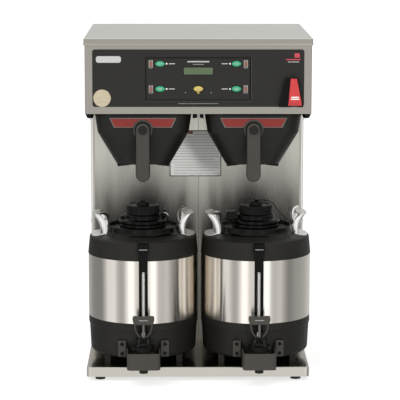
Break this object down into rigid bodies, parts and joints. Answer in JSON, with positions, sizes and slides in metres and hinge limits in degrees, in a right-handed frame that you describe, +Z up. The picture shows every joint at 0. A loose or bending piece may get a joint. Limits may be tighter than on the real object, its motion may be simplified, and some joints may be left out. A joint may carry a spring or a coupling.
{
  "type": "commercial coffee brewer",
  "caption": "Twin counter-top coffee brewer: stainless C-shaped body, brew cones on rails and thermal satellite dispensers with faucets, gauges and handles.",
  "frame": {"origin": "on the counter, under the middle of the whole object", "axes": "+Z up, -Y towards the person at the faucets, +X to that person's right"},
  "size_m": [0.5285, 0.571, 0.799],
  "materials": {
    "brushed_stainless": "vertical brushed satin",
    "tank_steel": "plain mill finish",
    "bright_steel": "polished",
    "black_plastic": "fine moulded satin",
    "gray_plastic": "fine moulded satin",
    "panel_black": "fine horizontal ribs",
    "green_key": "soft gloss",
    "yellow_key": "soft gloss",
    "red_plastic": "soft gloss",
    "clear_glass": "clear",
    "foot_rubber": "matte",
    "silicone_hose": "matte translucent",
    "valve_brass": "machined",
    "circuit_board": "solder resist"
  },
  "bodies": {
    "frame": {"base_pan": "brushed_stainless", "levelling_feet": "foot_rubber", "column_front": "brushed_stainless", "side_panels": "brushed_stainless", "rear_panel": "brushed_stainless", "head_shell": "brushed_stainless", "head_floor": "brushed_stainless", "top_cover": "brushed_stainless", "control_panel": "panel_black", "control_board": "circuit_board", "hot_water_housing": "black_plastic", "hot_water_valve": "valve_brass", "tank": "tank_steel", "tank_lid": "tank_steel", "heating_elements": "tank_steel", "dump_valves": "valve_brass", "dump_hoses": "silicone_hose", "spray_heads": "tank_steel", "cone_rails": "tank_steel", "inlet_valve": "valve_brass", "cord_gland": "black_plastic", "panel_screws": "bright_steel"},
    "left_full_button": {"left_full_button": "green_key"},
    "left_half_button": {"left_half_button": "green_key"},
    "right_full_button": {"right_full_button": "green_key"},
    "right_half_button": {"right_half_button": "green_key"},
    "select_button": {"select_button": "yellow_key"},
    "hot_water_lever": {"hot_water_lever": "red_plastic"},
    "left_cone": {"left_brew_cone": "black_plastic", "left_cone_handle": "gray_plastic", "left_filter_basket": "tank_steel"},
    "left_satellite": {"left_jacket": "brushed_stainless", "left_collar": "black_plastic", "left_skirt": "black_plastic", "left_liner": "tank_steel", "left_side_handles": "bright_steel", "left_gauge_shield": "black_plastic", "left_gauge_tube": "clear_glass", "left_faucet": "black_plastic", "left_faucet_guard": "gray_plastic", "left_guard_screws": "bright_steel"},
    "left_lid": {"left_lid": "black_plastic"},
    "left_cap": {"left_cap": "black_plastic"},
    "left_faucet_lever": {"left_faucet_lever": "black_plastic"},
    "right_cone": {"right_brew_cone": "black_plastic", "right_cone_handle": "gray_plastic", "right_filter_basket": "tank_steel"},
    "right_satellite": {"right_jacket": "brushed_stainless", "right_collar": "black_plastic", "right_skirt": "black_plastic", "right_liner": "tank_steel", "right_side_handles": "bright_steel", "right_gauge_shield": "black_plastic", "right_gauge_tube": "clear_glass", "right_faucet": "black_plastic", "right_faucet_guard": "gray_plastic", "right_guard_screws": "bright_steel"},
    "right_lid": {"right_lid": "black_plastic"},
    "right_cap": {"right_cap": "black_plastic"},
    "right_faucet_lever": {"right_faucet_lever": "black_plastic"}
  },
  "joints": [
    {"name": "left_full_button_press", "type": "slide", "parent": "frame", "child": "left_full_button", "axis": [0, 1, 0], "range_m": [0, 0.0012], "stiffness_N_per_m": 400},
    {"name": "left_half_button_press", "type": "slide", "parent": "frame", "child": "left_half_button", "axis": [0, 1, 0], "range_m": [0, 0.0012], "stiffness_N_per_m": 400},
    {"name": "right_full_button_press", "type": "slide", "parent": "frame", "child": "right_full_button", "axis": [0, 1, 0], "range_m": [0, 0.0012], "stiffness_N_per_m": 400},
    {"name": "right_half_button_press", "type": "slide", "parent": "frame", "child": "right_half_button", "axis": [0, 1, 0], "range_m": [0, 0.0012], "stiffness_N_per_m": 400},
    {"name": "select_button_press", "type": "slide", "parent": "frame", "child": "select_button", "axis": [0, 1, 0], "range_m": [0, 0.0012], "stiffness_N_per_m": 400},
    {"name": "hot_water_lever_pull", "type": "hinge", "parent": "frame", "child": "hot_water_lever", "pos_m": [0.217, -0.2305, 0.7025], "axis": [-1, 0, 0], "range_deg": [0, 16], "stiffness_Nm_per_rad": 0.2},
    {"name": "left_cone_slide", "type": "slide", "parent": "frame", "child": "left_cone", "axis": [0, -1, 0], "range_m": [0, 0.2]},
    {"name": "left_satellite_slide", "type": "slide", "parent": "frame", "child": "left_satellite", "axis": [0, -1, 0], "range_m": [0, 0.3]},
    {"name": "left_lid_lift", "type": "slide", "parent": "left_satellite", "child": "left_lid", "axis": [0, 0, 1], "range_m": [0, 0.05]},
    {"name": "left_cap_turn", "type": "hinge", "parent": "left_lid", "child": "left_cap", "pos_m": [-0.1295, -0.095, 0.386], "axis": [0, 0, 1], "range_deg": [0, 90]},
    {"name": "left_faucet_lever_pull", "type": "hinge", "parent": "left_satellite", "child": "left_faucet_lever", "pos_m": [-0.12631, -0.26097, 0.105], "axis": [0.9998, 0.0192, 0], "range_deg": [0, 18], "stiffness_Nm_per_rad": 0.6},
    {"name": "right_cone_slide", "type": "slide", "parent": "frame", "child": "right_cone", "axis": [0, -1, 0], "range_m": [0, 0.2]},
    {"name": "right_satellite_slide", "type": "slide", "parent": "frame", "child": "right_satellite", "axis": [0, -1, 0], "range_m": [0, 0.3]},
    {"name": "right_lid_lift", "type": "slide", "parent": "right_satellite", "child": "right_lid", "axis": [0, 0, 1], "range_m": [0, 0.05]},
    {"name": "right_cap_turn", "type": "hinge", "parent": "right_lid", "child": "right_cap", "pos_m": [0.1375, -0.095, 0.386], "axis": [0, 0, 1], "range_deg": [0, 90]},
    {"name": "right_faucet_lever_pull", "type": "hinge", "parent": "right_satellite", "child": "right_faucet_lever", "pos_m": [0.14069, -0.26097, 0.105], "axis": [0.9998, 0.0192, 0], "range_deg": [0, 18], "stiffness_Nm_per_rad": 0.6}
  ]
}
